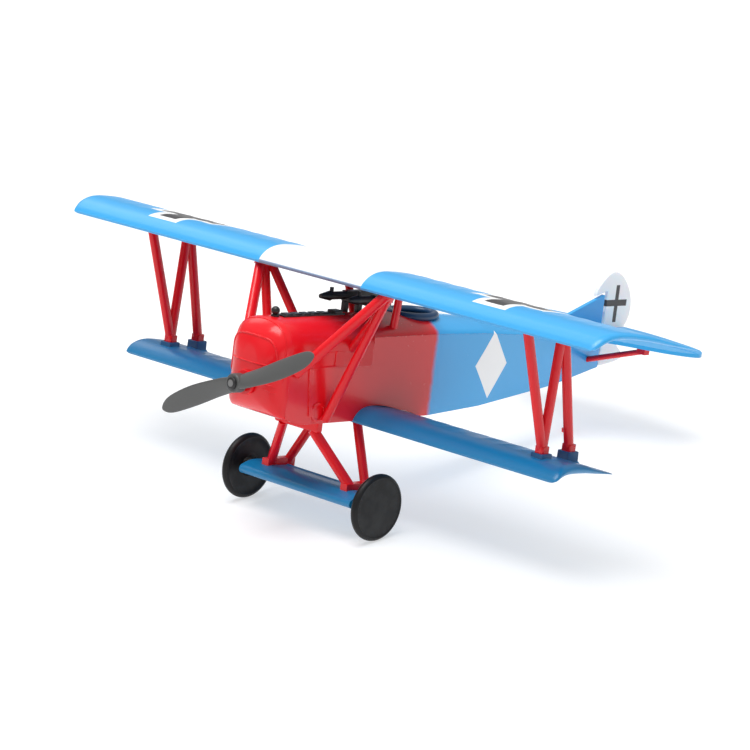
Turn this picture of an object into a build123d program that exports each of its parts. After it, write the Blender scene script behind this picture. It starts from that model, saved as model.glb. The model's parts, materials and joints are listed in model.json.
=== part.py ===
from build123d import *
import os
from math import cos, radians, sin

# Single-seat fighter biplane display model, 1:48, moulded in plastic and snapped together.
# Millimetres. The airframe is drawn level: +X to port, +Y aft, +Z up, with the thrust line on
# the Y axis. The last section turns it nose-up on to its wheels and tail skid.

NOSE_UP = 10.0              # resting pitch, degrees
GAP = 0.05                  # radial running clearance of a shaft in a bore

# Fuselage
NOSE_Y = 5.1                # front face of the radiator
NOSE_SEAM_Y = 10.6          # radiator shell to cowl and hull
NOSE_ROUND = 6.4            # how far the front edges curve in towards the face
COWL_END_Y = 38.0           # engine cowl to top deck
DECK_END_Y = 112.0          # top deck to tailplane
STERN_Y = 132.6
BODY_HALF = 8.8
BELLY_Z = -9.0
CHIN_Z = -7.4               # underside at the nose seam
COWL_SEAM_Z = 4.4
CROWN_Z = 15.6
WALL = 1.2
# (station, half width, belly height, longeron height, deck crown height)
PARALLEL_FRONT = (COWL_END_Y, BODY_HALF, BELLY_Z, 11.3, CROWN_Z)
PARALLEL_END = (60.0, BODY_HALF, BELLY_Z, 11.3, 15.2)
TAIL_QUARTER = (80.0, 7.5, -7.9, 10.5, 13.6)
TAIL_SEAT = (DECK_END_Y, 3.9, -4.9, 7.9, 8.9)
STERN = (STERN_Y, 1.1, -1.6, 7.9, 8.9)

# Wings: half span at the leading edge, its station and its height
UPPER_HALF, UPPER_LE_Y, UPPER_LE_Z = 88.0, 23.3, 24.7
UPPER_CHORD, UPPER_RAKE, UPPER_RISE = 32.0, 5.0, 4.3
LOWER_HALF, LOWER_LE_Y, LOWER_LE_Z = 73.9, 33.6, -9.3
LOWER_CHORD, LOWER_RAKE, LOWER_RISE = 23.8, -2.9, 3.8
WING_EDGE = 0.4             # thickness of a trailing edge
UPPER_HOLLOW, LOWER_HOLLOW = 1.0, 0.6       # depth of the hollow underside
# Aerofoil heights as fractions of the rise, at fractions of the chord
AEROFOIL_TOP = [(0.03, 0.40), (0.09, 0.74), (0.18, 0.96), (0.30, 1.0), (0.54, 0.82), (0.76, 0.47)]
AEROFOIL_UNDER = [(0.05, 0.06), (0.10, 0.30), (0.20, 0.56), (0.32, 0.62), (0.55, 0.48), (0.76, 0.24)]

# Struts
STRUT_X, STRUT_CHORD, STRUT_THICK = 63.5, 2.7, 1.95
STRUT_FEET_Y = (39.8, 49.3)
STRUT_HEADS_Y = (28.2, 41.7)
STRUT_FOOT_Z = -4.6
SOCKET = (3.8, 3.7)
CABANE_X = 21.2
CABANE_PAD_Y = (25.6, 31.2)

# Undercarriage
AXLE_Y, AXLE_Z, AXLE_R = 31.2, -26.9, 0.8
WHEEL_R = 8.2
WHEEL_IN, WHEEL_OUT = 21.3, 23.5
SPREADER_HALF = 19.0
SPREADER_NOSE_Y, SPREADER_TAIL_Y = 25.2, 38.6
SPREADER_TOP_Z = -24.5
GEAR_FOOT_X = 13.4
BEAM_HALF, BEAM_Y, BEAM_Z = 7.3, (23.4, 25.3), -11.8

# Propeller
PROP_ANGLE = 21.3           # of the port blade's root above level
PROP_R = 26.4
PROP_Y = 2.0                # blade plane
SHAFT_R = 1.0
# (distance out, chord, thickness, pitch in degrees)
BLADE_STATIONS = [
    (1.2, 3.6, 1.9, 34), (5.0, 4.5, 1.6, 30), (11.0, 5.0, 1.2, 25), (18.0, 5.0, 1.0, 20),
    (22.5, 4.3, 0.8, 17), (25.2, 2.8, 0.6, 15), (PROP_R, 0.9, 0.4, 14),
]
BLADE_SWEEP = 2.0           # how far the tip curves towards the leading edge
BUSH_R = 2.0

# Cockpit and guns
COCKPIT_Y, COCKPIT_HALF_X, COCKPIT_HALF_Y = 59.6, 4.9, 6.2
COAMING_Z, COAMING_R = 14.9, 1.0
FLOOR_Z = 1.5
GUN_Z, GUN_X, GUN_REAR_Y = 19.4, 3.0, 47.5
MUZZLE_PORT_Y, MUZZLE_STARBOARD_Y = 33.3, 29.7

# Tail
TAILPLANE_Z, TAILPLANE_THICK = 7.9, 1.0
HINGE_Y = 133.7
FIN_ROOT_Y = 108.0
SKID_Y = 125.2


def station(y):
    """Sketch plane across the fuselage at a station: X to port, up is up."""
    return Plane.XZ.offset(-y)


def bar(start, end, chord, thickness):
    """Streamlined strut between two points, chord fore and aft."""
    foot, head = Vector(*start), Vector(*end)
    with BuildSketch(Plane(origin=foot, x_dir=(1, 0, 0), z_dir=head - foot)) as section:
        Ellipse(thickness / 2, chord / 2)
    extrude(section.sketch, amount=(head - foot).length)


def block(low, high, mode=Mode.ADD):
    """Box between two corners."""
    size = [b - a for a, b in zip(low, high)]
    middle = Vector(*low) + Vector(*size) / 2
    with Locations(middle):
        Box(*size, mode=mode)


def rod(start, end, radius, mode=Mode.ADD):
    """Round rod between two points."""
    foot, head = Vector(*start), Vector(*end)
    with BuildSketch(Plane(origin=foot, z_dir=head - foot)) as section:
        Circle(radius)
    extrude(section.sketch, amount=(head - foot).length, mode=mode)


# ---------------------------------------------------------------- fuselage forms

def body_outline(bottom, inset, toe=0.0):
    """Section of nose and cowl: upright sides, rounded shoulders and a slightly arched top.
    toe is the radius of the two bottom corners."""
    half, crown = BODY_HALF - inset, CROWN_Z - inset
    side_top, corner = 9.0 - 0.8 * inset, (half * 0.86, 12.9 - inset * 0.95)
    flat_x, flat_z = half * 0.44, crown - 0.45
    with BuildLine() as outline:
        Line((-half, side_top), (-half, bottom + toe))
        Line((half, bottom + toe), (half, side_top))
        Line((toe - half, bottom), (half - toe, bottom))
        if toe:
            for side in (-1, 1):
                middle = (side * (half - 0.293 * toe), bottom + 0.293 * toe)
                ThreePointArc((side * half, bottom + toe), middle, (side * (half - toe), bottom))
        ThreePointArc((half, side_top), corner, (flat_x, flat_z))
        ThreePointArc((flat_x, flat_z), (0, crown), (-flat_x, flat_z))
        ThreePointArc((-flat_x, flat_z), (-corner[0], corner[1]), (-half, side_top))
    make_face(outline.edges())


def nose_form():
    """Solid form of the radiator shell, rounded like a pillow towards its face."""
    depth = NOSE_SEAM_Y - NOSE_Y
    with BuildPart() as form:
        for turn in (0, 22, 45, 66, 90):
            inset = NOSE_ROUND * (1 - cos(radians(turn)))
            corner = min(0.8 + 0.95 * inset, 0.8 * (BODY_HALF - inset))
            with BuildSketch(station(NOSE_SEAM_Y - depth * sin(radians(turn)))):
                body_outline(CHIN_Z + 1.35 * inset, inset, toe=corner)
        loft()
    return form.part


def hull_form(inset):
    """Solid form of the hull below the longerons. Inset, it is the cavity, open at top and nose."""
    half, belly, chin = BODY_HALF - inset, BELLY_Z + inset, CHIN_Z + inset
    front, parallel_top, seam = NOSE_SEAM_Y - inset, PARALLEL_END[3] + inset, COWL_SEAM_Z + inset
    with BuildPart() as form:
        with BuildSketch(Plane.YZ.offset(-half)):
            with BuildLine():
                Polyline(
                    (front, chin), (front, seam), (COWL_END_Y, seam), (COWL_END_Y, parallel_top),
                    (PARALLEL_END[0], parallel_top), (PARALLEL_END[0], belly), (19.0, belly),
                )
                ThreePointArc((19.0, belly), (14.4, (belly * 3 + chin) / 4), (front, chin))
            make_face()
        extrude(amount=2 * half)
        stations = [PARALLEL_END, TAIL_QUARTER, TAIL_SEAT, STERN]
        if inset:
            stations = stations[:-1]
        for fore, aft in zip(stations, stations[1:]):
            for y, half_x, bottom, top, _ in (fore, aft):
                low, high = bottom + inset, top + inset
                with BuildSketch(station(y)):
                    with Locations((0, (low + high) / 2)):
                        Rectangle(2 * (half_x - inset), high - low)
            loft(ruled=True)
    return form.part


def deck_form(inset):
    """Solid form of the top deck: a narrow bevel above each longeron, then an arch."""
    with BuildPart() as form:
        for fore, aft in [
            (PARALLEL_FRONT, PARALLEL_END), (PARALLEL_END, TAIL_QUARTER), (TAIL_QUARTER, TAIL_SEAT)
        ]:
            for y, half_x, _, longeron, crown in (fore, aft):
                half, bevel = half_x - inset, 0.22 * (crown - longeron)
                shoulder = half - 0.5
                with BuildSketch(station(y)):
                    with BuildLine():
                        Polyline(
                            (-shoulder, longeron + bevel), (-half, longeron), (half, longeron),
                            (shoulder, longeron + bevel),
                        )
                        ThreePointArc(
                            (shoulder, longeron + bevel), (0, crown - min(inset, (crown - longeron) / 2)),
                            (-shoulder, longeron + bevel),
                        )
                    make_face()
            loft(ruled=True)
    return form.part


def cowl_form(inset):
    """Solid form of the engine cowl."""
    with BuildPart() as form:
        with BuildSketch(station(COWL_END_Y)):
            body_outline(COWL_SEAM_Z, inset)
        extrude(amount=COWL_END_Y - NOSE_SEAM_Y)
    return form.part


nose_solid, cowl_solid, deck_solid, hull_solid = nose_form(), cowl_form(0), deck_form(0), hull_form(0)

with BuildPart() as body_envelope:
    for form in (nose_solid, cowl_solid, deck_solid, hull_solid):
        add(form)


# ---------------------------------------------------------------- wings

def aerofoil(le_y, le_z, chord, rise, hollow):
    """Thin cambered section, hollow underneath, in the plane of symmetry."""
    tail_y = le_y + chord
    top = [(le_y + s * chord, le_z + h * rise) for s, h in AEROFOIL_TOP]
    under = [(le_y + s * chord, le_z + h * rise * hollow) for s, h in AEROFOIL_UNDER]
    with BuildLine() as outline:
        Spline((le_y, le_z), *top, (tail_y, le_z + WING_EDGE), tangents=[(0.1, 1), (1, -0.28)])
        Line((tail_y, le_z + WING_EDGE), (tail_y, le_z))
        Spline((tail_y, le_z), *reversed(under), (le_y, le_z), tangents=[(-1, 0.2), (-1, -0.05)])
    make_face(outline.edges())


def wing_form(half, le_y, le_z, chord, rake, rise, hollow):
    """One-piece wing. The tips run outwards towards the tail by the rake, or inwards if it is negative."""
    reach, tail_y = half + rake, le_y + chord
    with BuildPart() as form:
        with BuildSketch(Plane.YZ.offset(-max(half, reach))):
            aerofoil(le_y, le_z, chord, rise, hollow)
        extrude(amount=2 * max(half, reach))
        with BuildSketch(Plane.XY.offset(le_z - rise)):
            with BuildLine():
                tip = Spline(
                    (half - 1.4, le_y), (half, le_y + 0.07 * chord), (reach, tail_y),
                    tangents=[(1, 0.15), (rake / chord, 1)],
                )
                mirror(tip, about=Plane.YZ)
                Line((1.4 - half, le_y), (half - 1.4, le_y))
                Line((-reach, tail_y), (reach, tail_y))
            make_face()
        extrude(amount=3 * rise, mode=Mode.INTERSECT)
    return form.part


with BuildPart() as upper_wing:
    add(wing_form(
        UPPER_HALF, UPPER_LE_Y, UPPER_LE_Z, UPPER_CHORD, UPPER_RAKE, UPPER_RISE, UPPER_HOLLOW,
    ))

with BuildPart() as lower_wing:
    add(wing_form(
        LOWER_HALF, LOWER_LE_Y, LOWER_LE_Z, LOWER_CHORD, LOWER_RAKE, LOWER_RISE, LOWER_HOLLOW,
    ))
    # Flat-bottomed centre section under the hull
    tail_y = LOWER_LE_Y + LOWER_CHORD
    with BuildSketch(Plane.YZ.offset(-BODY_HALF)):
        with BuildLine():
            Spline(
                (LOWER_LE_Y, LOWER_LE_Z),
                *[(LOWER_LE_Y + s * LOWER_CHORD, LOWER_LE_Z + h * LOWER_RISE) for s, h in AEROFOIL_TOP],
                (tail_y, LOWER_LE_Z + WING_EDGE), tangents=[(0.1, 1), (1, -0.28)],
            )
            Polyline(
                (tail_y, LOWER_LE_Z + WING_EDGE), (tail_y, LOWER_LE_Z), (LOWER_LE_Y, LOWER_LE_Z),
            )
        make_face()
    extrude(amount=2 * BODY_HALF)
    for side in (-1, 1):
        for foot_y in STRUT_FEET_Y:
            with BuildSketch(Plane.XY.offset(STRUT_FOOT_Z)):
                with Locations((side * STRUT_X, foot_y)):
                    RectangleRounded(*SOCKET, 0.6)
            extrude(amount=-2.6)

lower_centre = lower_wing.part & Pos(0, LOWER_LE_Y + LOWER_CHORD / 2, LOWER_LE_Z) * Box(
    2 * BODY_HALF, LOWER_CHORD + 2, 20
)


# ---------------------------------------------------------------- fuselage shells

with BuildPart() as nose_cowl:
    add(nose_solid)
    with BuildSketch(station(NOSE_SEAM_Y)):
        body_outline(CHIN_Z + WALL + 1.5, WALL + 0.6)
    extrude(amount=0.5 * (NOSE_SEAM_Y - NOSE_Y), mode=Mode.SUBTRACT)
    rod((0, NOSE_Y - 1, 0), (0, NOSE_SEAM_Y, 0), BUSH_R, mode=Mode.SUBTRACT)

with BuildPart() as engine_cowl:
    add(cowl_solid)
    add(cowl_form(WALL), mode=Mode.SUBTRACT)
    for side in (-1, 1):
        with BuildSketch(Plane.YZ.offset(side * BODY_HALF)):
            with Locations((26.7, 6.6)):
                RectangleRounded(3.2, 3.6, 0.5)
        extrude(amount=0.2 * side)

PIN_STATIONS = [(16.0, -6.4), (66.0, -6.4), (98.0, -4.6)]

with BuildPart() as hull:
    add(hull_solid)
    add(hull_form(WALL), mode=Mode.SUBTRACT)
    for side in (-1, 1):
        # Upright moulding strip on each side, near the front of the hull
        with BuildSketch(Plane.YZ.offset(side * BODY_HALF)):
            with BuildLine():
                Polyline(
                    (16.6, COWL_SEAM_Z), (17.8, COWL_SEAM_Z), (19.4, -7.0), (18.2, -7.0), close=True
                )
            make_face()
            with Locations((21.4, -6.2)):
                Circle(2.4)
                Circle(1.8, mode=Mode.SUBTRACT)
        extrude(amount=0.3 * side)
    for y, z in PIN_STATIONS:
        rod((-2.6, y, z), (2.6, y, z), 1.7)
        rod((-2.0, y, z), (2.0, y, z), 0.8, mode=Mode.SUBTRACT)
    add(lower_centre, mode=Mode.SUBTRACT)

with BuildPart() as fuselage_left:
    add(hull.part)
    split(bisect_by=Plane.YZ, keep=Keep.TOP)

with BuildPart() as fuselage_right:
    add(hull.part)
    split(bisect_by=Plane.YZ, keep=Keep.BOTTOM)

with BuildPart() as locating_pins:
    for y, z in PIN_STATIONS:
        rod((-1.9, y, z), (1.9, y, z), 0.8)

with BuildPart() as top_deck:
    add(deck_solid)
    add(deck_form(WALL), mode=Mode.SUBTRACT)
    with BuildSketch(Plane.XY.offset(8)):
        with Locations((0, COCKPIT_Y)):
            Ellipse(COCKPIT_HALF_X, COCKPIT_HALF_Y)
    extrude(amount=10, mode=Mode.SUBTRACT)

# Cross beam under the hull, which carries the front legs of the undercarriage
with BuildPart() as gear_beam:
    block((-BEAM_HALF, BEAM_Y[0], BEAM_Z), (BEAM_HALF, BEAM_Y[1], BELLY_Z))
    fillet(gear_beam.edges().group_by(Axis.Z)[0], 0.5)


# ---------------------------------------------------------------- cowl fittings, cockpit, guns

with BuildPart() as engine_top:
    block((-1.5, 13.8, CROWN_Z - 0.5), (1.5, 34.2, CROWN_Z + 0.3))
    with Locations(*[(0, 16.0 + 3.0 * i, CROWN_Z + 0.35) for i in range(5)]):
        Box(2.2, 2.0, 0.5)
    block((-1.3, 31.0, CROWN_Z + 0.2), (1.3, 33.6, CROWN_Z + 1.0))
    fillet(engine_top.edges().filter_by(Axis.Y).group_by(Axis.Z)[-1], 0.3)
    add(cowl_solid, mode=Mode.SUBTRACT)

with BuildPart() as filler_cap:
    with BuildSketch(Plane.YZ):
        with BuildLine():
            Polyline(
                (12.1, 15.2), (13.1, 15.2), (13.1, 16.0), (12.6, 16.1), (12.6, 16.4), (12.1, 18.0)
            )
            Line((12.1, 18.0), (12.1, 15.2))
        make_face()
        with BuildLine():
            CenterArc((12.1, 17.0), 1.05, -90, 180)
            Line((12.1, 18.05), (12.1, 15.95))
        make_face()
    revolve(axis=Axis((0, 12.1, 0), (0, 0, 1)))
    add(cowl_solid, mode=Mode.SUBTRACT)

# Padded rim round the cockpit opening, sitting on the deck
with BuildPart() as cockpit_coaming:
    rim_x, rim_y = COCKPIT_HALF_X + 0.2, COCKPIT_HALF_Y + 0.2
    with BuildLine(Plane((0, COCKPIT_Y, COAMING_Z))):
        EllipticalCenterArc((0, 0), rim_x, rim_y, arc_size=360)
    with BuildSketch(Plane(origin=(rim_x, COCKPIT_Y, COAMING_Z), z_dir=(0, 1, 0))):
        Circle(COAMING_R)
    sweep()
    add(top_deck.part, mode=Mode.SUBTRACT)

with BuildPart() as cockpit_floor:
    inner = BODY_HALF - WALL
    block((-inner, 49.0, FLOOR_Z - 1.0), (inner, 59.5, FLOOR_Z))

with BuildPart() as pilot_seat:
    block((-2.8, 56.6, FLOOR_Z), (2.8, 59.4, FLOOR_Z + 2.6))
    block((-2.8, 58.4, FLOOR_Z), (2.8, 59.4, FLOOR_Z + 7.0))
    fillet(pilot_seat.edges().filter_by(Axis.Y).group_by(Axis.Z)[-1], 1.2)

with BuildPart() as instrument_panel:
    block((-5.2, 49.6, 8.4), (5.2, 50.6, 12.2))
    with BuildSketch(station(50.6)):
        with Locations((-2.6, 10.4), (0, 10.4), (2.6, 10.4)):
            Circle(0.8)
    extrude(amount=-0.25)

with BuildPart() as control_stick:
    rod((0, 54.0, FLOOR_Z), (0, 53.4, FLOOR_Z + 6.4), 0.4)
    rod((-1.1, 53.4, FLOOR_Z + 6.4), (1.1, 53.4, FLOOR_Z + 6.4), 0.5)


def machine_gun(x, muzzle_y):
    """Gun with flash cone, cooling jacket, sight, breech and hand grip, all one moulding."""
    with BuildPart() as gun:
        with BuildSketch(station(muzzle_y)):
            with Locations((x, GUN_Z)):
                Circle(0.55)
        extrude(amount=-3.2, taper=-12)
        rod((x, muzzle_y + 3.2, GUN_Z), (x, muzzle_y + 9.0, GUN_Z), 1.0)
        block((x - 0.95, muzzle_y + 8.4, GUN_Z - 1.5), (x + 0.95, GUN_REAR_Y, GUN_Z + 1.1))
        block((x - 0.3, muzzle_y + 3.3, GUN_Z), (x + 0.3, muzzle_y + 4.1, GUN_Z + 2.1))
        block((x - 0.3, GUN_REAR_Y, GUN_Z - 1.0), (x + 0.3, GUN_REAR_Y + 1.2, GUN_Z + 0.2))
    return gun.part


with BuildPart() as gun_left:
    add(machine_gun(GUN_X, MUZZLE_PORT_Y))

with BuildPart() as gun_right:
    add(machine_gun(-GUN_X, MUZZLE_STARBOARD_Y))

with BuildPart() as gun_mount:
    block((-GUN_X - 0.8, 42.6, 17.2), (GUN_X + 0.8, 44.2, GUN_Z - 1.5))
    for post_x, post_y in [(-GUN_X, 38.6), (GUN_X, 43.4), (-GUN_X, 43.4)]:
        block((post_x - 0.6, post_y - 0.7, 13.0), (post_x + 0.6, post_y + 0.7, GUN_Z - 1.5))
    for part in (gun_left.part, gun_right.part, body_envelope.part):
        add(part, mode=Mode.SUBTRACT)


# ---------------------------------------------------------------- propeller and shaft

def blade(angle):
    """One twisted, round-ended blade reaching out from the hub at an angle above level."""
    out = Vector(cos(radians(angle)), 0, sin(radians(angle)))
    across = Vector(-sin(radians(angle)), 0, cos(radians(angle)))
    with BuildPart() as form:
        for reach, chord, thick, twist in BLADE_STATIONS:
            lean = across * cos(radians(twist)) + Vector(0, 1, 0) * sin(radians(twist))
            middle = Vector(0, PROP_Y, 0) + out * reach + across * BLADE_SWEEP * (reach / PROP_R) ** 2
            with BuildSketch(Plane(origin=middle, x_dir=lean, z_dir=out)):
                Ellipse(chord / 2, thick / 2)
        loft()
    return form.part


with BuildPart() as propeller:
    rod((0, 0.6, 0), (0, 3.4, 0), 2.3)
    fillet(propeller.edges().filter_by(GeomType.CIRCLE), 0.4)
    add(blade(PROP_ANGLE))
    add(blade(PROP_ANGLE + 180))
    rod((0, 0, 0), (0, 5, 0), SHAFT_R, mode=Mode.SUBTRACT)

with BuildPart() as propeller_boss:
    rod((0, 0, 0), (0, 0.6, 0), 1.5)
    fillet(propeller_boss.edges().group_by(Axis.Y)[0], 0.35)

with BuildPart() as propeller_shaft:
    rod((0, 0.6, 0), (0, 10.4, 0), SHAFT_R)
    rod((0, 9.4, 0), (0, 10.4, 0), 1.7)

with BuildPart() as shaft_bush:
    rod((0, NOSE_Y - 0.8, 0), (0, NOSE_Y, 0), 3.0)
    rod((0, NOSE_Y, 0), (0, 9.0, 0), BUSH_R)
    rod((0, 0, 0), (0, 10, 0), SHAFT_R + GAP, mode=Mode.SUBTRACT)


# ---------------------------------------------------------------- wing struts

with BuildPart() as interplane_strut_left:
    (fore_foot, aft_foot), (fore_head, aft_head) = STRUT_FEET_Y, STRUT_HEADS_Y
    heads = {fore_head: UPPER_LE_Z + 2.7, aft_head: UPPER_LE_Z + 2.4}
    for foot_y, head_y in [(fore_foot, fore_head), (fore_foot, aft_head), (aft_foot, aft_head)]:
        foot, head = (STRUT_X, foot_y, STRUT_FOOT_Z + 0.6), (STRUT_X, head_y, heads[head_y])
        bar(foot, head, STRUT_CHORD, STRUT_THICK)
    for foot_y in STRUT_FEET_Y:
        with BuildSketch(Plane.XY.offset(STRUT_FOOT_Z)):
            with Locations((STRUT_X, foot_y)):
                RectangleRounded(2.6, 2.8, 0.7)
        extrude(amount=1.6)
    add(upper_wing.part, mode=Mode.SUBTRACT)

with BuildPart() as cabane_strut_left:
    fore_pad, aft_pad = CABANE_PAD_Y
    block((CABANE_X - 1.3, fore_pad, UPPER_LE_Z - 0.9), (CABANE_X + 1.3, aft_pad, UPPER_LE_Z + 2.1))
    bar((CABANE_X + 0.3, 26.8, UPPER_LE_Z), (BODY_HALF + 0.1, 11.9, 3.4), 3.0, 2.2)
    bar((CABANE_X, 27.8, UPPER_LE_Z), (BODY_HALF + 0.4, 23.7, -8.2), 2.7, 1.9)
    bar((CABANE_X - 0.3, 29.4, UPPER_LE_Z), (BODY_HALF - 0.9, 30.8, 8.2), 2.5, 1.8)
    for part in (upper_wing.part, body_envelope.part, hull.part, engine_cowl.part):
        add(part, mode=Mode.SUBTRACT)

with BuildPart() as rear_cabane_left:
    bar((10.0, 44.0, UPPER_LE_Z + 2.1), (6.5, 46.4, 12.0), 2.2, 1.7)
    add(upper_wing.part, mode=Mode.SUBTRACT)
    add(body_envelope.part, mode=Mode.SUBTRACT)


# ---------------------------------------------------------------- undercarriage

with BuildPart() as spreader_wing:
    with BuildSketch(Plane.YZ.offset(-SPREADER_HALF)):
        with BuildLine():
            nose, tail = (SPREADER_NOSE_Y, AXLE_Z + 0.3), (SPREADER_TAIL_Y, AXLE_Z + 1.3)
            Spline(
                nose, (nose[0] + 1.2, SPREADER_TOP_Z - 0.8), (29.6, SPREADER_TOP_Z),
                (34.6, SPREADER_TOP_Z - 0.2), tail, tangents=[(0, 1), (1, -0.35)],
            )
            Line(tail, (tail[0], tail[1] - 0.4))
            Spline(
                (tail[0], tail[1] - 0.4), (AXLE_Y, AXLE_Z - 1.3), (nose[0] + 1.5, AXLE_Z - 0.9), nose,
                tangents=[(-1, -0.25), (0, 1)],
            )
        make_face()
    extrude(amount=2 * SPREADER_HALF)
    rod((-30, AXLE_Y, AXLE_Z), (30, AXLE_Y, AXLE_Z), AXLE_R, mode=Mode.SUBTRACT)

with BuildPart() as axle:
    rod((0.7 - WHEEL_OUT, AXLE_Y, AXLE_Z), (WHEEL_OUT - 0.7, AXLE_Y, AXLE_Z), AXLE_R)

with BuildPart() as gear_leg_left:
    foot_z = SPREADER_TOP_Z + 0.4
    bar((GEAR_FOOT_X + 0.3, 30.6, foot_z), (5.0, 24.4, BEAM_Z + 0.4), 2.8, 2.1)
    bar((GEAR_FOOT_X, 36.0, foot_z), (5.6, 38.4, LOWER_LE_Z + 0.4), 2.7, 2.0)
    block((GEAR_FOOT_X - 1.0, 28.4, SPREADER_TOP_Z - 1.0), (GEAR_FOOT_X + 1.2, 37.6, foot_z + 1.1))
    for part in (gear_beam.part, lower_wing.part, spreader_wing.part, hull.part):
        add(part, mode=Mode.SUBTRACT)

WHEEL_PROFILE = [
    (WHEEL_IN - 1.5, AXLE_R + GAP), (WHEEL_IN - 1.5, 2.3), (WHEEL_IN + 0.2, 2.7), (WHEEL_IN + 0.3, 6.6),
    (WHEEL_IN - 0.1, 7.2),
]
with BuildPart() as wheel_left:
    with BuildSketch(Plane.XY):
        with BuildLine():
            Polyline(*WHEEL_PROFILE)
            ThreePointArc(WHEEL_PROFILE[-1], (WHEEL_IN + 0.9, WHEEL_R), (WHEEL_OUT - 0.2, 7.3))
            Polyline(
                (WHEEL_OUT - 0.2, 7.3), (WHEEL_OUT - 0.35, 7.0), (WHEEL_OUT, 1.6), (WHEEL_OUT, 0),
                (WHEEL_OUT - 0.6, 0), (WHEEL_OUT - 0.6, AXLE_R + GAP), WHEEL_PROFILE[0],
            )
        make_face()
    revolve(axis=Axis.X)
wheel_form = Pos(0, AXLE_Y, AXLE_Z) * wheel_left.part


# ---------------------------------------------------------------- tail

with BuildPart() as tailplane:
    with BuildSketch(Plane.XY.offset(TAILPLANE_Z)):
        with BuildLine():
            port_edge = Spline(
                (3.0, DECK_END_Y), (20.0, 122.4), (31.5, 127.6), (34.6, 131.6), (32.6, 135.0),
                (23.7, 138.8), (10.7, 141.2), (1.6, 141.4), tangents=[(1, 0.9), (-1, 0)],
            )
            mirror(about=Plane.YZ)
            Line((-3.0, DECK_END_Y), (3.0, DECK_END_Y))
            Line((-1.6, 141.4), (1.6, 141.4))
        make_face()
    extrude(amount=TAILPLANE_THICK)
    block((-1.2, HINGE_Y, TAILPLANE_Z), (1.2, 145, TAILPLANE_Z + TAILPLANE_THICK), mode=Mode.SUBTRACT)
    # Elevator hinge grooves on the upper face
    for side in (-1, 1):
        block(
            (side * 18 - 15.5, 131.5, TAILPLANE_Z + TAILPLANE_THICK - 0.3),
            (side * 18 + 15.5, 132.0, TAILPLANE_Z + TAILPLANE_THICK), mode=Mode.SUBTRACT,
        )

with BuildPart() as fin:
    seat_z = TAILPLANE_Z + TAILPLANE_THICK
    with BuildSketch(Plane.YZ.offset(-0.6)):
        Polygon((FIN_ROOT_Y, seat_z), (STERN_Y, seat_z), (STERN_Y, 17.6), align=None)
    extrude(amount=1.2)
    add(deck_solid, mode=Mode.SUBTRACT)

with BuildPart() as rudder:
    with BuildSketch(Plane.YZ.offset(-0.55)):
        with BuildLine():
            Spline(
                (129.2, 17.3), (131.3, 21.1), (135.6, 23.6), (140.6, 21.0), (143.6, 15.4), (142.4, 9.4),
                (139.6, 4.4), (HINGE_Y, -1.4), tangents=[(0.1, 1), (-1, -0.1)],
            )
            Polyline((HINGE_Y, -1.4), (HINGE_Y, 18.7), (129.2, 17.3))
        make_face()
    extrude(amount=1.1)
    for hinge_z in (1.0, 6.0, 13.0):
        block((-0.3, STERN_Y, hinge_z), (0.3, HINGE_Y, hinge_z + 1.4))

with BuildPart() as tail_strut_left:
    bar((1.0, 127.6, 0.6), (19.2, 127.6, TAILPLANE_Z - 1.4), 1.9, 1.5)
    block((18.2, 126.6, TAILPLANE_Z - 2.0), (20.8, 128.6, TAILPLANE_Z))
    for part in (tailplane.part, body_envelope.part):
        add(part, mode=Mode.SUBTRACT)

ground_offset = -sin(radians(NOSE_UP)) * AXLE_Y + cos(radians(NOSE_UP)) * AXLE_Z - WHEEL_R
skid_foot_z = (ground_offset + sin(radians(NOSE_UP)) * SKID_Y) / cos(radians(NOSE_UP))
GROUND = Plane(
    origin=(0, SKID_Y, skid_foot_z), x_dir=(1, 0, 0),
    z_dir=(0, -sin(radians(NOSE_UP)), cos(radians(NOSE_UP))),
)
with BuildPart() as tail_skid:
    with BuildSketch(GROUND):
        RectangleRounded(2.0, 3.2, 0.9)
    extrude(amount=0.9)
    bar((0, SKID_Y - 0.2, skid_foot_z + 0.5), (0, SKID_Y - 2.6, -2.4), 2.0, 1.4)
    add(body_envelope.part, mode=Mode.SUBTRACT)


# ---------------------------------------------------------------- stance and hand-in

pieces = {
    "nose_cowl": nose_cowl.part, "engine_cowl": engine_cowl.part, "engine_top": engine_top.part,
    "filler_cap": filler_cap.part, "fuselage_left": fuselage_left.part,
    "fuselage_right": fuselage_right.part, "top_deck": top_deck.part, "gear_beam": gear_beam.part,
    "locating_pins": locating_pins.part, "cockpit_coaming": cockpit_coaming.part,
    "cockpit_floor": cockpit_floor.part, "pilot_seat": pilot_seat.part,
    "instrument_panel": instrument_panel.part, "control_stick": control_stick.part,
    "gun_left": gun_left.part, "gun_right": gun_right.part, "gun_mount": gun_mount.part,
    "shaft_bush": shaft_bush.part, "propeller": propeller.part, "propeller_boss": propeller_boss.part,
    "propeller_shaft": propeller_shaft.part, "upper_wing": upper_wing.part,
    "lower_wing": lower_wing.part, "spreader_wing": spreader_wing.part, "axle": axle.part,
    "tailplane": tailplane.part, "fin": fin.part, "rudder": rudder.part, "tail_skid": tail_skid.part,
}
paired = {
    "interplane_strut": interplane_strut_left.part, "cabane_strut": cabane_strut_left.part,
    "rear_cabane": rear_cabane_left.part, "gear_leg": gear_leg_left.part, "wheel": wheel_form,
    "tail_strut": tail_strut_left.part,
}
for name, part in paired.items():
    pieces[name + "_left"] = part
    pieces[name + "_right"] = part.mirror(Plane.YZ)

nose_up = Location((0, 0, 0), (-NOSE_UP, 0, 0))
box = Compound(children=[nose_up * part for part in pieces.values()]).bounding_box()
seat = Pos(-box.center().X, -box.center().Y, -box.min.Z) * nose_up

os.makedirs("parts", exist_ok=True)
for name, part in pieces.items():
    placed = seat * part
    placed.label = name
    export_step(placed, f"parts/{name}.step")

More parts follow.
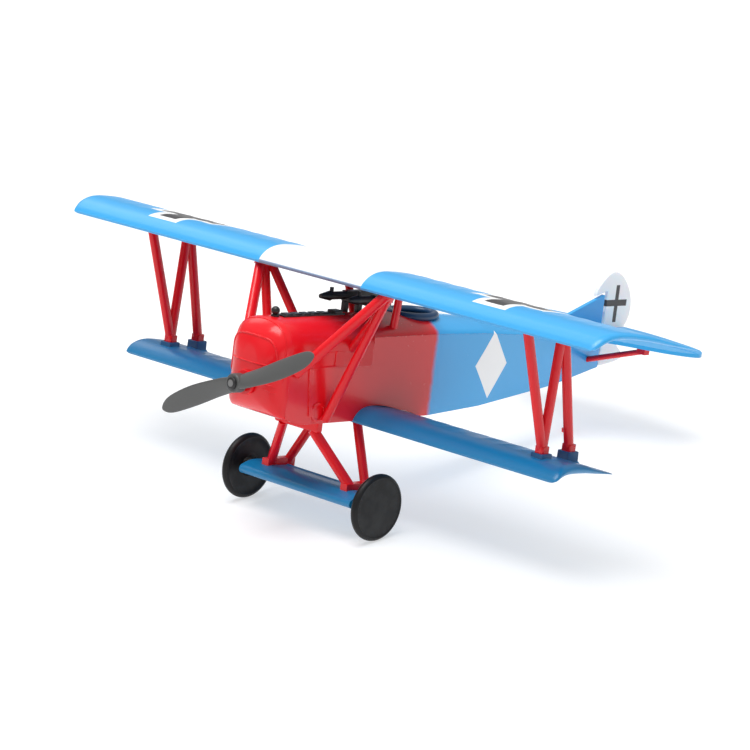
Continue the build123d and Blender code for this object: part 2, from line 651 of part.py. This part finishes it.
for what, point in {
    "thrust line": (0, 0, 0), "thrust line aft": (0, 100, 0), "axle": (0, AXLE_Y, AXLE_Z),
    "skid shoe": (0, SKID_Y, skid_foot_z), "cockpit floor": (0, COCKPIT_Y, FLOOR_Z),
    "cockpit rim": (0, COCKPIT_Y, COAMING_Z),
}.items():
    print(what, [round(v, 4) for v in (seat * Pos(*point)).position])
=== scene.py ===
import json
import math

import bmesh
import bpy
from mathutils import Matrix, Vector
from mathutils.bvhtree import BVHTree


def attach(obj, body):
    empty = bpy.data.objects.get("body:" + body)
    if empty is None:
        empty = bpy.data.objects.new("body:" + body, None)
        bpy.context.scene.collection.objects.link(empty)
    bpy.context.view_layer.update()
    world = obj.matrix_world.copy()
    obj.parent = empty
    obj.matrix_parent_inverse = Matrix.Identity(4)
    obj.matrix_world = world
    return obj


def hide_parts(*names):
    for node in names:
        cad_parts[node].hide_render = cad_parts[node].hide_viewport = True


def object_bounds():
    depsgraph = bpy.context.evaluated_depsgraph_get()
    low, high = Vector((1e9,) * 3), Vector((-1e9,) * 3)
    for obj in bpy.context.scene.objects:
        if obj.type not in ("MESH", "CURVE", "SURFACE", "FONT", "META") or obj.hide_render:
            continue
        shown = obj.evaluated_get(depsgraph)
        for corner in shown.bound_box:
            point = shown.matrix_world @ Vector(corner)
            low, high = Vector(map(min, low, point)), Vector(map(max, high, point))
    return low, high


# Looks of the snap-together biplane model. The level frame has the thrust line on its Y axis,
# +X to port, +Y aft and +Z up, in millimetres. STANCE takes it to the row frame, in metres.

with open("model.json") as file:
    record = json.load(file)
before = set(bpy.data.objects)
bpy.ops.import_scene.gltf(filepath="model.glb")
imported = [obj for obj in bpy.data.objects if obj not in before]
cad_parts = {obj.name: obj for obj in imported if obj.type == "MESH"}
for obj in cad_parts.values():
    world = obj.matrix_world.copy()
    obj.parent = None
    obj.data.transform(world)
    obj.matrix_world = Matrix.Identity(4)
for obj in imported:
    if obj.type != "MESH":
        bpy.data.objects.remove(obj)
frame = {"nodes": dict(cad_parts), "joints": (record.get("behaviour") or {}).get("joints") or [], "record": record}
cad_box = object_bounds()
nodes = frame["nodes"]
joints = {joint["name"]: joint for joint in frame["joints"]}

MM = 0.001
thrust = joints["propeller_spin"]
NOSE_UP = math.atan2(-thrust["axis"][2], thrust["axis"][1])
STANCE = Matrix.Translation(thrust["pos_m"]) @ Matrix.Rotation(-NOSE_UP, 4, "X") @ Matrix.Scale(MM, 4)
LEVEL = STANCE.inverted()

# Wings, as in the CAD: half span, leading edge station and height, chord, tip rake and rise
UPPER_HALF, UPPER_LE_Y, UPPER_LE_Z = 88.0, 23.3, 24.7
UPPER_CHORD, UPPER_RAKE, UPPER_RISE = 32.0, 5.0, 4.3
LOWER_HALF, LOWER_LE_Y, LOWER_LE_Z = 73.9, 33.6, -9.3
LOWER_CHORD, LOWER_RAKE, LOWER_RISE = 23.8, -2.9, 3.8
UPPER_HOLLOW, LOWER_HOLLOW = 1.0, 0.6
AEROFOIL_TOP = [(0.03, 0.40), (0.09, 0.74), (0.18, 0.96), (0.30, 1.0), (0.54, 0.82), (0.76, 0.47)]
AEROFOIL_UNDER = [(0.05, 0.06), (0.10, 0.30), (0.20, 0.56), (0.32, 0.62), (0.55, 0.48), (0.76, 0.24)]
STRUT_X, STRUT_FEET_Y, STRUT_FOOT_Z, SOCKET = 63.5, (39.8, 49.3), -4.6, (3.8, 3.7)
RIB_PITCH, RIB_STEPS = 6.3, 8
TIP_RUN = 9.0                 # outer part of each half, where the ribs stop and the plan rounds off
TIP_CORNER, TIP_EDGE = 1.5, 1.8   # plan radius of the leading corner, and how far in the tip thins out

# Wheels: axle station and height, and the radius where the cover meets the tyre
AXLE_Y, AXLE_Z = 31.2, -26.9
TYRE_INNER = 7.05

# Painted marks
BAND_X, BAND_HALF = -1.7, 17.3
CROSS_X, CROSS_Y = (52.8, -58.0), 38.2
CROSS_EDGE, CROSS_DARK = (5.1, 11.3), (3.0, 9.6)      # half width and reach of the arms
LOZENGE_Y, LOZENGE_Z, LOZENGE_HALF = 83.5, 2.4, (6.6, 8.6)
COLOUR_LINE = (59.3, 61.3)    # stations over which the fuselage goes from red to blue
RUDDER_UPRIGHT = (137.6, 15.1, 0.7, 4.95)     # station, height, half width and half height
RUDDER_LEVEL = (137.2, 15.3, 4.55, 0.85)


# ---------------------------------------------------------------- shader maths

class Field:
    """A number that varies over the surface, written with ordinary arithmetic."""

    def __init__(self, tree, socket):
        self.tree = tree
        self.socket = socket

    def _math(self, operation, *others):
        node = self.tree.nodes.new("ShaderNodeMath")
        node.operation = operation
        for slot, value in enumerate((self, *others)):
            if isinstance(value, Field):
                self.tree.links.new(value.socket, node.inputs[slot])
            else:
                node.inputs[slot].default_value = value
        return Field(self.tree, node.outputs[0])

    def __add__(self, other):
        return self._math("ADD", other)

    def __sub__(self, other):
        return self._math("SUBTRACT", other)

    def __mul__(self, other):
        return self._math("MULTIPLY", other)

    def __truediv__(self, other):
        return self._math("DIVIDE", other)

    def abs(self):
        return self._math("ABSOLUTE")

    def sin(self):
        return self._math("SINE")

    def power(self, exponent):
        return self._math("POWER", exponent)

    def high(self, other):
        return self._math("MAXIMUM", other)

    def flip(self):
        """1 minus the field."""
        return self * -1.0 + 1.0

    def step(self, start, end):
        """0 below start, 1 above end, smooth between them. With end below start it falls instead."""
        node = self.tree.nodes.new("ShaderNodeMapRange")
        node.interpolation_type = "SMOOTHSTEP"
        self.tree.links.new(self.socket, node.inputs["Value"])
        if start < end:
            node.inputs["From Min"].default_value, node.inputs["From Max"].default_value = start, end
            return Field(self.tree, node.outputs["Result"])
        node.inputs["From Min"].default_value, node.inputs["From Max"].default_value = end, start
        return Field(self.tree, node.outputs["Result"]).flip()


class Finish:
    """A procedural material being built: places in the level frame, noises, and the shader."""

    def __init__(self, name, roughness, specular=0.5, coat=0.0, coat_roughness=0.1, subsurface=0.0):
        self.material = bpy.data.materials.new(name)
        self.material.use_nodes = True
        self.tree = self.material.node_tree
        self.shader = self.tree.nodes["Principled BSDF"]
        self.roughness = roughness
        self.shader.inputs["Specular IOR Level"].default_value = specular
        self.shader.inputs["Coat Weight"].default_value = coat
        self.shader.inputs["Coat Roughness"].default_value = coat_roughness
        if subsurface:
            self.shader.inputs["Subsurface Weight"].default_value = subsurface
            self.shader.inputs["Subsurface Scale"].default_value = 1.5 * MM
            self.shader.inputs["Subsurface Radius"].default_value = (1.0, 0.6, 0.5)
        where = self.tree.nodes.new("ShaderNodeTexCoord").outputs["Object"]
        level = self.tree.nodes.new("ShaderNodeMapping")
        level.vector_type = "TEXTURE"
        level.inputs["Location"].default_value = thrust["pos_m"]
        level.inputs["Rotation"].default_value = (-NOSE_UP, 0, 0)
        level.inputs["Scale"].default_value = (MM, MM, MM)
        self.tree.links.new(where, level.inputs["Vector"])
        self.place = level.outputs["Vector"]
        split = self.tree.nodes.new("ShaderNodeSeparateXYZ")
        self.tree.links.new(self.place, split.inputs[0])
        self.x, self.y, self.z = [Field(self.tree, split.outputs[i]) for i in range(3)]

    def noise(self, size, detail=3.0, stretch=(1, 1, 1), seed=0.0):
        """Noise from 0 to 1, with features about size millimetres across."""
        scaled = self.tree.nodes.new("ShaderNodeMapping")
        scaled.inputs["Scale"].default_value = [1 / (size * s) for s in stretch]
        scaled.inputs["Location"].default_value = (seed, 1.7 * seed, 0.3 * seed)
        self.tree.links.new(self.place, scaled.inputs["Vector"])
        noise = self.tree.nodes.new("ShaderNodeTexNoise")
        noise.inputs["Scale"].default_value = 1.0
        noise.inputs["Detail"].default_value = detail
        self.tree.links.new(scaled.outputs[0], noise.inputs["Vector"])
        return Field(self.tree, noise.outputs[0])

    def mix(self, under, over, factor):
        """Colour that goes from under to over as factor goes from 0 to 1."""
        node = self.tree.nodes.new("ShaderNodeMix")
        node.data_type = "RGBA"
        self.tree.links.new(factor.socket, node.inputs["Factor"])
        for name, colour in (("A", under), ("B", over)):
            socket = [s for s in node.inputs if s.name == name and s.type == "RGBA"][0]
            if isinstance(colour, tuple):
                socket.default_value = (*colour, 1)
            else:
                self.tree.links.new(colour, socket)
        return [s for s in node.outputs if s.type == "RGBA"][0]

    def edge_wear(self, radius=0.2):
        """1 on convex edges, 0 on open surface."""
        bevel = self.tree.nodes.new("ShaderNodeBevel")
        bevel.samples = 2
        bevel.inputs["Radius"].default_value = radius * MM
        geometry = self.tree.nodes.new("ShaderNodeNewGeometry")
        dot = self.tree.nodes.new("ShaderNodeVectorMath")
        dot.operation = "DOT_PRODUCT"
        self.tree.links.new(bevel.outputs[0], dot.inputs[0])
        self.tree.links.new(geometry.outputs["Normal"], dot.inputs[1])
        return Field(self.tree, dot.outputs["Value"]).step(0.93, 0.78)

    def wear(self):
        """Patchy wear on the edges."""
        return self.edge_wear() * self.noise(2.2, 3.0, seed=9.0).step(0.35, 0.75) * 0.6

    def facing_up(self):
        """1 where the surface faces upwards, 0 on its sides and underneath."""
        normal = self.tree.nodes.new("ShaderNodeSeparateXYZ")
        geometry = self.tree.nodes.new("ShaderNodeNewGeometry")
        self.tree.links.new(geometry.outputs["Normal"], normal.inputs[0])
        return Field(self.tree, normal.outputs[2]).step(0.0, 0.1)

    def finish(self, colour, bump=None, bump_height=0.05, grain=0.04):
        """Connects colour, roughness with fine moulding grain, and bump in millimetres."""
        self.tree.links.new(colour, self.shader.inputs["Base Color"])
        fine, slow = self.noise(1.2, 4.0, seed=3.1), self.noise(14.0, 2.0, seed=7.7)
        spread = (fine - 0.5) * grain + (slow - 0.5) * grain
        self.tree.links.new((spread + self.roughness).socket, self.shader.inputs["Roughness"])
        texture, sink = self.noise(0.5, 2.0, seed=5.0), self.noise(11.0, 2.0, seed=2.0)
        height = (texture - 0.5) * 0.0014 + (sink - 0.5) * 0.012
        if bump is not None:
            height = height + bump * bump_height
        node = self.tree.nodes.new("ShaderNodeBump")
        node.inputs["Strength"].default_value = 1.0
        node.inputs["Distance"].default_value = MM
        self.tree.links.new(height.socket, node.inputs["Height"])
        self.tree.links.new(node.outputs[0], self.shader.inputs["Normal"])
        self.tree.links.new(node.outputs[0], self.shader.inputs["Coat Normal"])
        return self.material


# ---------------------------------------------------------------- colours

RED = (0.84, 0.006, 0.014)
RED_DEEP = (0.74, 0.004, 0.010)
SKY = (0.037, 0.385, 0.79)
SKY_DEEP = (0.030, 0.36, 0.75)
DEEP = (0.006, 0.21, 0.46)
WHITE = (0.95, 0.95, 0.95)
BLACK = (0.010, 0.010, 0.011)
CROSS = (0.045, 0.042, 0.045)
GREY = (0.085, 0.087, 0.086)
NAVY = (0.006, 0.045, 0.12)
# Painted shade: darker blue for the strut sockets on the lower wing.
SOCKET_SHADE_BLUE = (0.004, 0.085, 0.22)
# Painted shade: dull grey-blue for the underside of the white wing band, which is really sky blue.
BAND_UNDERSIDE_SHADE = (0.17, 0.24, 0.38)
DEEP_WORN = (0.16, 0.42, 0.74)
GREY_WORN = (0.26, 0.26, 0.26)


def plastic(name, colour, worn, roughness, coat=0.0, subsurface=0.0, specular=0.5):
    """Moulded plastic: slow colour drift, paler worn edges, fine grain."""
    finish = Finish(name, roughness, specular=specular, coat=coat, coat_roughness=0.24, subsurface=subsurface)
    drift = finish.mix(colour, tuple(0.9 * c for c in colour), finish.noise(11.0, 2.0))
    return finish.finish(finish.mix(drift, worn, finish.wear()))


def paint_fuselage():
    """Red in front, blue behind with a soft sprayed edge, and a plain white lozenge on each side."""
    finish = Finish("fuselage_paint", 0.26, coat=0.3)
    red = finish.mix(RED, RED_DEEP, finish.noise(11.0, 2.0))
    blue = finish.mix(SKY, SKY_DEEP, finish.noise(14.0, 2.0, seed=4.0))
    overspray = (finish.noise(1.6, 4.0) - 0.5) * 0.9
    colour = finish.mix(red, blue, (finish.y + overspray).step(*COLOUR_LINE))
    lozenge = (finish.y - LOZENGE_Y).abs() / LOZENGE_HALF[0] + (finish.z - LOZENGE_Z).abs() / LOZENGE_HALF[1]
    side = finish.x.abs().step(4.0, 4.5)
    white = finish.mix(WHITE, tuple(0.94 * c for c in WHITE), finish.noise(5.0, 3.0))
    colour = finish.mix(colour, white, lozenge.step(1.01, 0.99) * side)
    return finish.finish(finish.mix(colour, (0.93, 0.55, 0.52), finish.wear() * 0.7))


def plus_sign(across, along, half, reach):
    """1 inside a plus shape with arms of that half width and reach."""
    edge = 0.07

    def bar(one, other):
        return one.abs().step(half + edge, half - edge) * other.abs().step(reach + edge, reach - edge)

    return bar(across, along).high(bar(along, across))


def paint_upper_wing():
    """Sky blue with a white centre band and two plain plus signs edged in white; painted shade turns the band's
    underside dull grey-blue.
    """
    finish = Finish("upper_wing_paint", 0.36, coat=0.12, coat_roughness=0.25)
    blue = finish.mix(SKY, SKY_DEEP, finish.noise(18.0, 2.0))
    white = finish.mix(WHITE, tuple(0.94 * c for c in WHITE), finish.noise(5.0, 3.0))
    above_edge = finish.z.step(UPPER_LE_Z + 0.7, UPPER_LE_Z + 1.0).high(finish.y.step(26, 27))
    topside = finish.facing_up() * above_edge
    band = (finish.x - BAND_X).abs().step(BAND_HALF + 0.1, BAND_HALF - 0.1)
    outline, sign = None, None
    for x in CROSS_X:
        across, along = finish.x - x, finish.y - CROSS_Y
        wide, narrow = plus_sign(across, along, *CROSS_EDGE), plus_sign(across, along, *CROSS_DARK)
        outline = wide if outline is None else outline.high(wide)
        sign = narrow if sign is None else sign.high(narrow)
    # Painted shade: off the top side, the white band's blue underside and leading-edge lip turn dull grey-blue.
    colour = finish.mix(blue, BAND_UNDERSIDE_SHADE, band * topside.flip())
    colour = finish.mix(colour, white, band.high(outline) * topside)
    colour = finish.mix(colour, CROSS, sign * topside)
    return finish.finish(finish.mix(colour, (0.55, 0.72, 0.92), finish.wear() * 0.5))


def paint_lower_wing():
    """Deep blue, with painted shade darkening the raised strut sockets."""
    finish = Finish("lower_wing_paint", 0.34, coat=0.12, coat_roughness=0.24)
    blue = finish.mix(DEEP, tuple(0.9 * c for c in DEEP), finish.noise(11.0, 2.0))
    front, rear = [(finish.y - foot_y).abs().step(2.0, 1.9) for foot_y in STRUT_FEET_Y]
    # Painted shade on the strut sockets, where the strut feet and the upper wing shade them.
    socket = (finish.x.abs() - STRUT_X).abs().step(2.05, 1.95) * front.high(rear) * finish.z.step(-7.4, -7.2)
    colour = finish.mix(blue, SOCKET_SHADE_BLUE, socket)
    return finish.finish(finish.mix(colour, DEEP_WORN, finish.wear()))


def paint_rudder():
    """White with a plain dark plus sign on each side."""
    finish = Finish("rudder_paint", 0.32, subsurface=0.5)
    white = finish.mix(WHITE, tuple(0.95 * c for c in WHITE), finish.noise(6.0, 3.0))
    upright, level = [
        (finish.y - y).abs().step(wide + 0.05, wide - 0.05)
        * (finish.z - z).abs().step(tall + 0.05, tall - 0.05)
        for y, z, wide, tall in (RUDDER_UPRIGHT, RUDDER_LEVEL)
    ]
    return finish.finish(finish.mix(white, CROSS, upright.high(level)))


def wheel_plastic():
    """Black moulding: a satin cover inside a duller, ribbed tyre."""
    finish = Finish("wheel_plastic", 0.42, specular=0.28)
    across, up = finish.y - AXLE_Y, finish.z - AXLE_Z
    radius = (across * across + up * up).power(0.5)
    tyre = radius.step(TYRE_INNER - 0.1, TYRE_INNER + 0.1)
    cover = finish.mix((0.018, 0.018, 0.018), (0.008, 0.008, 0.008), finish.noise(3.0, 4.0).step(0.35, 0.65))
    colour = finish.mix(cover, (0.007, 0.007, 0.0075), tyre)
    ribs = (radius * 14.0).sin() * tyre
    colour = finish.mix(colour, (0.06, 0.06, 0.06), finish.wear())
    return finish.finish(colour, bump=ribs, bump_height=0.012)


def hub_plastic():
    """Grey moulding with a dark ring sunk around the shaft and a paler centre."""
    finish = Finish("hub_plastic", 0.42)
    radius = (finish.x * finish.x + finish.z * finish.z).power(0.5)
    ring = radius.step(0.8, 0.9) * radius.step(1.65, 1.5)
    grey = finish.mix(GREY, tuple(0.9 * c for c in GREY), finish.noise(3.0, 2.0))
    colour = finish.mix(grey, (0.17, 0.17, 0.17), radius.step(0.9, 0.8))
    colour = finish.mix(colour, (0.012, 0.012, 0.013), ring)
    colour = finish.mix(colour, GREY_WORN, finish.wear())
    return finish.finish(colour, bump=ring.flip(), bump_height=0.1)


PAINT = {
    "red_plastic": plastic(
        "red_plastic", RED, (0.93, 0.16, 0.15), 0.24, coat=0.15, subsurface=0.04, specular=0.32
    ),
    "sky_blue_plastic": plastic("sky_plastic", SKY, (0.45, 0.68, 0.93), 0.34, coat=0.12),
    "deep_blue_plastic": plastic("deep_plastic", DEEP, DEEP_WORN, 0.34, coat=0.12),
    "fuselage_paint": paint_fuselage(),
    "black_plastic": plastic("black_plastic", BLACK, (0.09, 0.09, 0.09), 0.38),
    "grey_plastic": plastic("grey_plastic", GREY, GREY_WORN, 0.44),
    "navy_padding": plastic("navy_padding", NAVY, (0.05, 0.15, 0.28), 0.30),
    "white_plastic": paint_rudder(),
    "cockpit_plastic": plastic("cockpit_plastic", (0.09, 0.075, 0.06), (0.2, 0.18, 0.16), 0.5),
}
upper_wing_paint = paint_upper_wing()
OWN_PAINT = {"wheel_left": wheel_plastic(), "propeller_boss": hub_plastic()}
OWN_PAINT["wheel_right"] = OWN_PAINT["wheel_left"]


# ---------------------------------------------------------------- carried-over CAD nodes

EDGE_ROUND = {"tailplane": 0.42, "fin": 0.35, "rudder": 0.35, "gear_beam": 0.3, "pilot_seat": 0.3}


def dress(name, slot):
    """Material by slot, smooth shading between real edges, and small moulded radii on those edges."""
    node = nodes[name]
    node.data.materials.clear()
    node.data.materials.append(OWN_PAINT.get(name, PAINT[slot]))
    node.data.polygons.foreach_set("use_smooth", [True] * len(node.data.polygons))
    node.data.set_sharp_from_angle(angle=math.radians(32))
    weld = node.modifiers.new("weld", "WELD")
    weld.merge_threshold = 0.002 * MM
    radii = node.modifiers.new("radii", "BEVEL")
    radii.limit_method = "ANGLE"
    radii.angle_limit = math.radians(38)
    radii.width = EDGE_ROUND.get(name, 0.14) * MM
    radii.segments = 2
    radii.harden_normals = False
    normals = node.modifiers.new("normals", "WEIGHTED_NORMAL")
    normals.keep_sharp = True


for subpart in frame["record"]["subparts"]:
    dress(subpart["node"], subpart["material_slot"])


# ---------------------------------------------------------------- mesh helpers, level frame

def smooth(points, steps):
    """Points along a smooth curve through the given ones, steps to each gap."""
    knots = [Vector(p) for p in points]
    times = [0.0]
    for a, b in zip(knots, knots[1:]):
        times.append(times[-1] + (b - a).length ** 0.5)
    slopes = []
    for i in range(len(knots)):
        before, after = max(i - 1, 0), min(i + 1, len(knots) - 1)
        slopes.append((knots[after] - knots[before]) / (times[after] - times[before]))
    path = []
    for i in range(len(knots) - 1):
        span = times[i + 1] - times[i]
        for k in range(steps):
            t = k / steps
            path.append(
                knots[i] * (2 * t**3 - 3 * t**2 + 1) + slopes[i] * span * (t**3 - 2 * t**2 + t)
                + knots[i + 1] * (3 * t**2 - 2 * t**3) + slopes[i + 1] * span * (t**3 - t**2)
            )
    return path + [knots[-1]]


def piece(name, mesh, material, stands_for=()):
    """A finished mesh as a named piece of the airframe."""
    bmesh.ops.remove_doubles(mesh, verts=mesh.verts, dist=0.004)
    bmesh.ops.recalc_face_normals(mesh, faces=mesh.faces)
    bmesh.ops.transform(mesh, matrix=STANCE, verts=mesh.verts)
    data = bpy.data.meshes.new(name)
    mesh.to_mesh(data)
    mesh.free()
    data.polygons.foreach_set("use_smooth", [True] * len(data.polygons))
    data.set_sharp_from_angle(angle=math.radians(48))
    data.materials.append(material)
    made = bpy.data.objects.new(name, data)
    bpy.context.scene.collection.objects.link(made)
    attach(made, "airframe")
    if stands_for:
        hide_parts(*stands_for)
    return made


def skin(mesh, rings, capped=True):
    """Closed surface over a row of rings with the same number of points."""
    rows = [[mesh.verts.new(p) for p in ring] for ring in rings]
    count = len(rows[0])
    for near, far in zip(rows, rows[1:]):
        for i in range(count):
            mesh.faces.new((near[i], near[(i + 1) % count], far[(i + 1) % count], far[i]))
    if capped:
        mesh.faces.new(rows[0])
        mesh.faces.new(list(reversed(rows[-1])))


def tube(mesh, path, radius, sides=8):
    """Round bead along a path, closed at both ends."""
    rings = []
    for i, point in enumerate(path):
        ahead = (path[min(i + 1, len(path) - 1)] - path[max(i - 1, 0)]).normalized()
        side = ahead.orthogonal().normalized() if i == 0 else (side - ahead * side.dot(ahead)).normalized()
        up = ahead.cross(side)
        size = radius * (0.35 if i in (0, len(path) - 1) else 1.0)
        rings.append([
            point + (side * math.cos(a) + up * math.sin(a)) * size
            for a in (2 * math.pi * k / sides for k in range(sides))
        ])
    skin(mesh, rings)


surfaces = {}


def land(name, start, heading):
    """Where a point meets a CAD node when it moves along a heading."""
    if name not in surfaces:
        data = nodes[name].data
        surfaces[name] = BVHTree.FromPolygons(
            [LEVEL @ v.co for v in data.vertices], [tuple(p.vertices) for p in data.polygons]
        )
    hit = surfaces[name].ray_cast(Vector(start), Vector(heading).normalized())
    return hit[0]


# ---------------------------------------------------------------- wings

def profile(chord, rise, hollow):
    """Upper and lower surface of the aerofoil, as (aft, up) points from nose to tail."""
    top = smooth([(c * chord, h * rise) for c, h in [(0.004, 0.13), *AEROFOIL_TOP, (1.0, 0.4 / rise)]], 7)
    under = [(0.012, 0.005), *AEROFOIL_UNDER, (1.0, 0.0)]
    under = smooth([(c * chord, h * rise * hollow) for c, h in under], 6)
    return top, under


def wing(
    name, material, half, le_y, le_z, chord, rake, rise, hollow, sag, scallop, flat_half=0.0, extra=None
):
    """One-piece fabric-covered wing: ribs show as low ridges, and the trailing edge is scalloped."""
    inner = half - TIP_RUN
    places = [RIB_PITCH * k / RIB_STEPS for k in range(RIB_STEPS * math.floor(inner / RIB_PITCH) + 1)]
    places += [(places[-1] + inner) / 2, inner]
    if flat_half:
        places = sorted([*places, flat_half, flat_half + 0.03])
    outward = [1 - (1 - k / 16) ** 1.7 for k in range(1, 17)]
    rings = []
    for reach, shift in [(place, 0.0) for place in places] + [(inner, t) for t in outward]:
        top, under = profile(chord, rise, 0.0 if flat_half and reach <= flat_half else hollow)
        ring = []
        for sheet, is_top in ((top, True), (list(reversed(under)), False)):
            other = under if is_top else top
            for aft, up in sheet:
                share = aft / chord
                corner = max(0.0, 1 - share / 0.09)
                edge = half + rake * share - TIP_CORNER * (1 - math.sqrt(max(0.0, 1 - corner**2)))
                x = reach + (edge - reach) * shift
                bay = 0.0 if shift else abs(math.sin(math.pi * x / RIB_PITCH)) ** 0.8
                cloth = min(1.0, max(0.0, (share - 0.12) / 0.2))
                partner = height_at(other, aft)
                middle, thick = (up + partner) / 2, (up - partner) / 2
                room = min(1.0, max(0.0, (edge - x) / TIP_EDGE)) if shift else 1.0
                fullness = math.sqrt(1 - (1 - room) ** 2)
                dip = sag * bay * cloth * (1.0 if is_top else -0.5)
                tail = scallop * bay * max(0.0, (share - 0.9) / 0.1) ** 2
                ring.append((x, le_y + aft - tail, le_z + middle + thick * fullness - dip))
        rings.append(ring)
    port = [[Vector(p) for p in ring] for ring in rings]
    starboard = [[Vector((-p[0], p[1], p[2])) for p in ring] for ring in reversed(rings[1:])]
    mesh = bmesh.new()
    skin(mesh, starboard + port, capped=False)
    if extra:
        extra(mesh)
    return piece(name, mesh, material, [name.replace("_skin", "")])


def height_at(sheet, aft):
    """Height of an aerofoil surface at a distance aft, by straight runs between its points."""
    for a, b in zip(sheet, sheet[1:]):
        if a.x <= aft <= b.x:
            return a.y + (b.y - a.y) * (aft - a.x) / max(b.x - a.x, 1e-6)
    return sheet[0].y if aft < sheet[0].x else sheet[-1].y


def rounded_block(mesh, middle, size, corner, low, high, flare=0.0):
    """Upright block with rounded corners, a softened top edge and a flared base."""
    base = [(low, flare), (low + 0.5, 0.12 * flare)]
    levels = base + [(high - 0.25, 0.0), (high - 0.07, -0.08), (high, -0.28)]
    rings = []
    for z, grow in levels:
        ring = []
        for sx, sy, turn in ((1, 1, 0), (-1, 1, 90), (-1, -1, 180), (1, -1, 270)):
            for k in range(5):
                a = math.radians(turn + 22.5 * k)
                ring.append(Vector((
                    middle[0] + sx * (size[0] / 2 - corner) + (corner + grow) * math.cos(a),
                    middle[1] + sy * (size[1] / 2 - corner) + (corner + grow) * math.sin(a), z,
                )))
        rings.append(ring)
    skin(mesh, rings)


def strut_sockets(mesh):
    for side in (-1, 1):
        for foot_y in STRUT_FEET_Y:
            rounded_block(mesh, (side * STRUT_X, foot_y), SOCKET, 0.5, STRUT_FOOT_Z - 2.7, STRUT_FOOT_Z, 0.5)


wing("upper_wing_skin", upper_wing_paint, UPPER_HALF, UPPER_LE_Y, UPPER_LE_Z,
     UPPER_CHORD, UPPER_RAKE, UPPER_RISE, UPPER_HOLLOW, sag=0.09, scallop=0.45)
wing("lower_wing_skin", paint_lower_wing(), LOWER_HALF, LOWER_LE_Y, LOWER_LE_Z,
     LOWER_CHORD, LOWER_RAKE, LOWER_RISE, LOWER_HOLLOW, sag=0.16, scallop=0.6, flat_half=8.8,
     extra=strut_sockets)


# ---------------------------------------------------------------- nose and cowl trim

def nose_trim():
    """Raised radiator border, its cross rail, the shell's edge bead and two vents on each side."""
    mesh = bmesh.new()
    ahead = (0, 1, 0)
    border = smooth([(-7.2, 1.6), (-7.35, 5.0), (-7.2, 8.2), (-6.2, 10.3), (-4.2, 11.3), (0, 11.6)], 6)
    border = border + [Vector((-p.x, p.y)) for p in reversed(border[:-1])]
    rail = [Vector((-7.1 + 0.71 * k, 5.1)) for k in range(21)]
    for path, radius in ((border, 0.26), (rail, 0.2)):
        tube(mesh, [land("nose_cowl", (p.x, -20, p.y), ahead) for p in path], radius)
    edge = []
    for k in range(37):
        turn = math.radians(-14 + 208 * k / 36)
        outward = Vector((math.cos(turn), 0, math.sin(turn)))
        edge.append(land("nose_cowl", Vector((0, 8.7, 3.0)) + outward * 40, -outward))
    tube(mesh, edge, 0.2)
    for side in (-1, 1):
        for low, lift in ((-0.9, 0.35), (0.5, 0.3)):
            path = [Vector((side * (4.8 + 0.5 * k), low + lift * math.cos(0.5 * k))) for k in range(7)]
            tube(mesh, [land("nose_cowl", (p.x, -20, p.y), ahead) for p in path], 0.17)
    piece("radiator_trim", mesh, PAINT["red_plastic"])


nose_trim()


# ---------------------------------------------------------------- floor, light, camera

def sky():
    """Studio surround: a bright ceiling that falls away to a dimmer horizon."""
    world = bpy.data.worlds.new("studio")
    bpy.context.scene.world = world
    world.use_nodes = True
    tree = world.node_tree
    split = tree.nodes.new("ShaderNodeSeparateXYZ")
    tree.links.new(tree.nodes.new("ShaderNodeTexCoord").outputs["Generated"], split.inputs[0])
    strength = Field(tree, split.outputs[2]).step(0.0, 0.7) * 0.48 + 0.2
    tree.links.new(strength.socket, tree.nodes["Background"].inputs["Strength"])
    tree.nodes["Background"].inputs["Color"].default_value = (1, 1, 1, 1)


def floor():
    bpy.ops.mesh.primitive_plane_add(size=6, location=(0, 0, cad_box[0][2] - 0.0001))
    ground = bpy.context.object
    ground.name = "floor"
    surface = Finish("floor_paper", 0.8, specular=0.1)
    paper = surface.mix((0.55, 0.55, 0.55), (0.53, 0.53, 0.53), surface.noise(60.0))
    surface.shader.inputs["Emission Color"].default_value = (1, 1, 1, 1)
    surface.shader.inputs["Emission Strength"].default_value = 0.52
    ground.data.materials.append(surface.finish(paper))


def softbox(name, place, size, power, aim=(0, 0, 0.03)):
    light = bpy.data.lights.new(name, "AREA")
    light.shape, light.size, light.energy = "SQUARE", size, power
    lamp = bpy.data.objects.new(name, light)
    lamp.location = place
    lamp.rotation_euler = (Vector(place) - Vector(aim)).to_track_quat("Z", "Y").to_euler()
    bpy.context.scene.collection.objects.link(lamp)


def camera():
    turn, rise = math.radians(44.48), math.radians(17.35)
    back = Vector((math.sin(turn) * math.cos(rise), -math.cos(turn) * math.cos(rise), math.sin(rise)))
    lens = bpy.data.cameras.new("camera")
    lens.sensor_width = 36
    lens.lens = 161.9
    lens.clip_start, lens.clip_end = 0.01, 20
    view = bpy.data.objects.new("camera", lens)
    view.location = STANCE @ Vector((0, 49.09, -0.24)) + back * 0.825
    view.rotation_euler = back.to_track_quat("Z", "Y").to_euler()
    bpy.context.scene.collection.objects.link(view)
    bpy.context.scene.camera = view


floor()
sky()
softbox("key", (0.05, -0.25, 1.2), 0.7, 11.5)
softbox("front_fill", (-0.35, -1.05, 0.4), 0.6, 0.3)
softbox("left_rim", (-0.8, 0.2, 0.75), 0.5, 1.2)
camera()
bpy.context.scene.view_settings.view_transform = "Standard"
